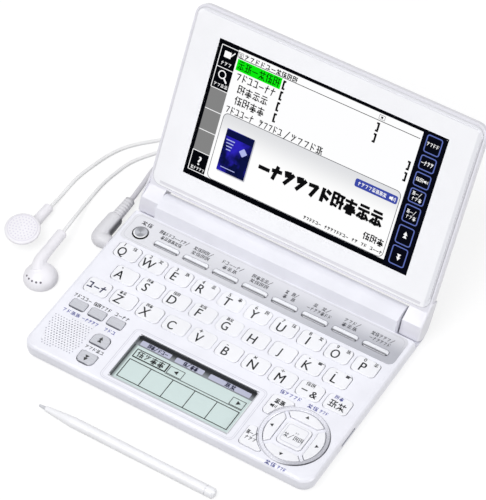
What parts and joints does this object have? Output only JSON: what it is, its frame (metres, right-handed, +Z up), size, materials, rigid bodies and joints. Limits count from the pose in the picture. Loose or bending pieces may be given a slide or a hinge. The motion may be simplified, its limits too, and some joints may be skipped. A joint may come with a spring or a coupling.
{
  "type": "electronic dictionary",
  "caption": "Clamshell electronic dictionary: keyboard base, hinged screen lid, handwriting window, cursor pad, battery barrel, stylus and plugged earphones.",
  "frame": {"origin": "on the desk under the centre of the base's footprint, in the plane of the flat underside and of the rubber feet let into it", "axes": "+X to the user's right, +Y to the rear along the deck, +Z up"},
  "size_m": [0.1922, 0.222, 0.0948],
  "materials": {
    "case_white": "satin white with a cool cast",
    "key_white": "fine satin",
    "panel_silver": "pearl silver paint",
    "bezel_grey": "fine grey satin",
    "key_silver": "silver lacquer",
    "bright_trim": "brushed and plated",
    "screen_glass": "glossy black",
    "module_black": "matt",
    "lcd_glass": "matt liquid crystal",
    "touch_film": "clear hard-coated film",
    "board_green": "solder mask",
    "rubber_grey": "moulded rubber",
    "cell_can": "printed can",
    "spring_steel": "bright",
    "tip_grey": "hard nylon",
    "plug_gold": "gold plated",
    "cord_white": "soft satin jacket",
    "tie_white": "wrapped tie",
    "bud_white": "polished white",
    "bud_face": "polished, drilled"
  },
  "bodies": {
    "base": {"base_bottom_cover": "case_white", "base_top_cover": "case_white", "function_panel": "panel_silver", "barrel_housing": "case_white", "battery_cells": "cell_can", "battery_contacts": "spring_steel", "main_board": "board_green", "key_sheet": "rubber_grey", "speaker": "module_black", "speaker_grille": "case_white", "sub_display": "lcd_glass", "sub_touch_sheet": "touch_film", "headphone_jack": "module_black", "rubber_feet": "rubber_grey", "case_screws": "spring_steel", "hinge_pins": "spring_steel", "pad_ring": "bright_trim"},
    "battery_door": {"battery_cover": "case_white"},
    "lid": {"lid_back_cover": "case_white", "lid_bezel": "bezel_grey", "main_display": "module_black", "touch_panel": "screen_glass"},
    "power_key": {"power_key": "bright_trim"},
    "function_key_1": {"function_key_1": "key_silver"},
    "function_key_2": {"function_key_2": "key_silver"},
    "function_key_3": {"function_key_3": "key_silver"},
    "function_key_4": {"function_key_4": "key_silver"},
    "function_key_5": {"function_key_5": "key_silver"},
    "function_key_6": {"function_key_6": "key_silver"},
    "function_key_7": {"function_key_7": "key_silver"},
    "function_key_8": {"function_key_8": "key_silver"},
    "upper_letter_keys": {"upper_letter_keys": "key_white"},
    "middle_letter_keys": {"middle_letter_keys": "key_white"},
    "lower_letter_keys": {"lower_letter_keys": "key_white"},
    "shift_key": {"shift_key": "key_white"},
    "symbol_key": {"symbol_key": "key_white"},
    "delete_key": {"delete_key": "key_white"},
    "small_key_1": {"small_key_1": "key_silver"},
    "small_key_2": {"small_key_2": "key_silver"},
    "small_key_3": {"small_key_3": "key_silver"},
    "page_up_key": {"page_up_key": "key_white"},
    "page_down_key": {"page_down_key": "key_white"},
    "voice_key": {"voice_key": "key_white"},
    "back_key": {"back_key": "key_white"},
    "cursor_up_key": {"cursor_up_key": "key_white"},
    "cursor_right_key": {"cursor_right_key": "key_white"},
    "cursor_down_key": {"cursor_down_key": "key_white"},
    "cursor_left_key": {"cursor_left_key": "key_white"},
    "enter_key": {"enter_key": "key_silver"},
    "stylus": {"stylus_barrel": "case_white", "stylus_tip": "tip_grey"},
    "earphones": {"plug_body": "cord_white", "plug_shank": "plug_gold", "main_cord": "cord_white", "cord_coil": "cord_white", "cord_tie": "tie_white", "cord_split": "cord_white", "branch_cords": "cord_white", "earbud_shells": "bud_white", "earbud_caps": "bud_face"}
  },
  "joints": [
    {"name": "lid_hinge", "type": "hinge", "parent": "base", "child": "lid", "pos_m": [0, 0.046, 0.0096], "axis": [-1, 0, 0], "range_deg": [-119.4, 30.6]},
    {"name": "battery_cover_slide", "type": "slide", "parent": "base", "child": "battery_door", "axis": [0, 1, 0], "range_m": [0, 0.01]},
    {"name": "power_press", "type": "slide", "parent": "base", "child": "power_key", "axis": [0, 0, -1], "range_m": [0, 0.0006], "stiffness_N_per_m": 400, "springref_m": -0.0005},
    {"name": "function_1_press", "type": "slide", "parent": "base", "child": "function_key_1", "axis": [0, 0, -1], "range_m": [0, 0.0006], "stiffness_N_per_m": 400, "springref_m": -0.0005},
    {"name": "function_2_press", "type": "slide", "parent": "base", "child": "function_key_2", "axis": [0, 0, -1], "range_m": [0, 0.0006], "stiffness_N_per_m": 400, "springref_m": -0.0005},
    {"name": "function_3_press", "type": "slide", "parent": "base", "child": "function_key_3", "axis": [0, 0, -1], "range_m": [0, 0.0006], "stiffness_N_per_m": 400, "springref_m": -0.0005},
    {"name": "function_4_press", "type": "slide", "parent": "base", "child": "function_key_4", "axis": [0, 0, -1], "range_m": [0, 0.0006], "stiffness_N_per_m": 400, "springref_m": -0.0005},
    {"name": "function_5_press", "type": "slide", "parent": "base", "child": "function_key_5", "axis": [0, 0, -1], "range_m": [0, 0.0006], "stiffness_N_per_m": 400, "springref_m": -0.0005},
    {"name": "function_6_press", "type": "slide", "parent": "base", "child": "function_key_6", "axis": [0, 0, -1], "range_m": [0, 0.0006], "stiffness_N_per_m": 400, "springref_m": -0.0005},
    {"name": "function_7_press", "type": "slide", "parent": "base", "child": "function_key_7", "axis": [0, 0, -1], "range_m": [0, 0.0006], "stiffness_N_per_m": 400, "springref_m": -0.0005},
    {"name": "function_8_press", "type": "slide", "parent": "base", "child": "function_key_8", "axis": [0, 0, -1], "range_m": [0, 0.0006], "stiffness_N_per_m": 400, "springref_m": -0.0005},
    {"name": "upper_letters_press", "type": "slide", "parent": "base", "child": "upper_letter_keys", "axis": [0, 0, -1], "range_m": [0, 0.0006], "stiffness_N_per_m": 400, "springref_m": -0.0005},
    {"name": "middle_letters_press", "type": "slide", "parent": "base", "child": "middle_letter_keys", "axis": [0, 0, -1], "range_m": [0, 0.0006], "stiffness_N_per_m": 400, "springref_m": -0.0005},
    {"name": "lower_letters_press", "type": "slide", "parent": "base", "child": "lower_letter_keys", "axis": [0, 0, -1], "range_m": [0, 0.0006], "stiffness_N_per_m": 400, "springref_m": -0.0005},
    {"name": "shift_press", "type": "slide", "parent": "base", "child": "shift_key", "axis": [0, 0, -1], "range_m": [0, 0.0006], "stiffness_N_per_m": 400, "springref_m": -0.0005},
    {"name": "symbol_press", "type": "slide", "parent": "base", "child": "symbol_key", "axis": [0, 0, -1], "range_m": [0, 0.0006], "stiffness_N_per_m": 400, "springref_m": -0.0005},
    {"name": "delete_press", "type": "slide", "parent": "base", "child": "delete_key", "axis": [0, 0, -1], "range_m": [0, 0.0006], "stiffness_N_per_m": 400, "springref_m": -0.0005},
    {"name": "small_1_press", "type": "slide", "parent": "base", "child": "small_key_1", "axis": [0, 0, -1], "range_m": [0, 0.0006], "stiffness_N_per_m": 400, "springref_m": -0.0005},
    {"name": "small_2_press", "type": "slide", "parent": "base", "child": "small_key_2", "axis": [0, 0, -1], "range_m": [0, 0.0006], "stiffness_N_per_m": 400, "springref_m": -0.0005},
    {"name": "small_3_press", "type": "slide", "parent": "base", "child": "small_key_3", "axis": [0, 0, -1], "range_m": [0, 0.0006], "stiffness_N_per_m": 400, "springref_m": -0.0005},
    {"name": "page_up_press", "type": "slide", "parent": "base", "child": "page_up_key", "axis": [0, 0, -1], "range_m": [0, 0.0006], "stiffness_N_per_m": 400, "springref_m": -0.0005},
    {"name": "page_down_press", "type": "slide", "parent": "base", "child": "page_down_key", "axis": [0, 0, -1], "range_m": [0, 0.0006], "stiffness_N_per_m": 400, "springref_m": -0.0005},
    {"name": "voice_press", "type": "slide", "parent": "base", "child": "voice_key", "axis": [0, 0, -1], "range_m": [0, 0.0006], "stiffness_N_per_m": 400, "springref_m": -0.0005},
    {"name": "back_press", "type": "slide", "parent": "base", "child": "back_key", "axis": [0, 0, -1], "range_m": [0, 0.0006], "stiffness_N_per_m": 400, "springref_m": -0.0005},
    {"name": "cursor_up_press", "type": "slide", "parent": "base", "child": "cursor_up_key", "axis": [0, 0, -1], "range_m": [0, 0.0006], "stiffness_N_per_m": 400, "springref_m": -0.0005},
    {"name": "cursor_right_press", "type": "slide", "parent": "base", "child": "cursor_right_key", "axis": [0, 0, -1], "range_m": [0, 0.0006], "stiffness_N_per_m": 400, "springref_m": -0.0005},
    {"name": "cursor_down_press", "type": "slide", "parent": "base", "child": "cursor_down_key", "axis": [0, 0, -1], "range_m": [0, 0.0006], "stiffness_N_per_m": 400, "springref_m": -0.0005},
    {"name": "cursor_left_press", "type": "slide", "parent": "base", "child": "cursor_left_key", "axis": [0, 0, -1], "range_m": [0, 0.0006], "stiffness_N_per_m": 400, "springref_m": -0.0005},
    {"name": "enter_press", "type": "slide", "parent": "base", "child": "enter_key", "axis": [0, 0, -1], "range_m": [0, 0.0006], "stiffness_N_per_m": 400, "springref_m": -0.0005},
    {"name": "stylus_lift", "type": "slide", "parent": "base", "child": "stylus", "axis": [0, 0, 1], "range_m": [0, 0.05]},
    {"name": "plug_pull", "type": "slide", "parent": "base", "child": "earphones", "axis": [-1, 0, 0], "range_m": [0, 0.016]}
  ]
}
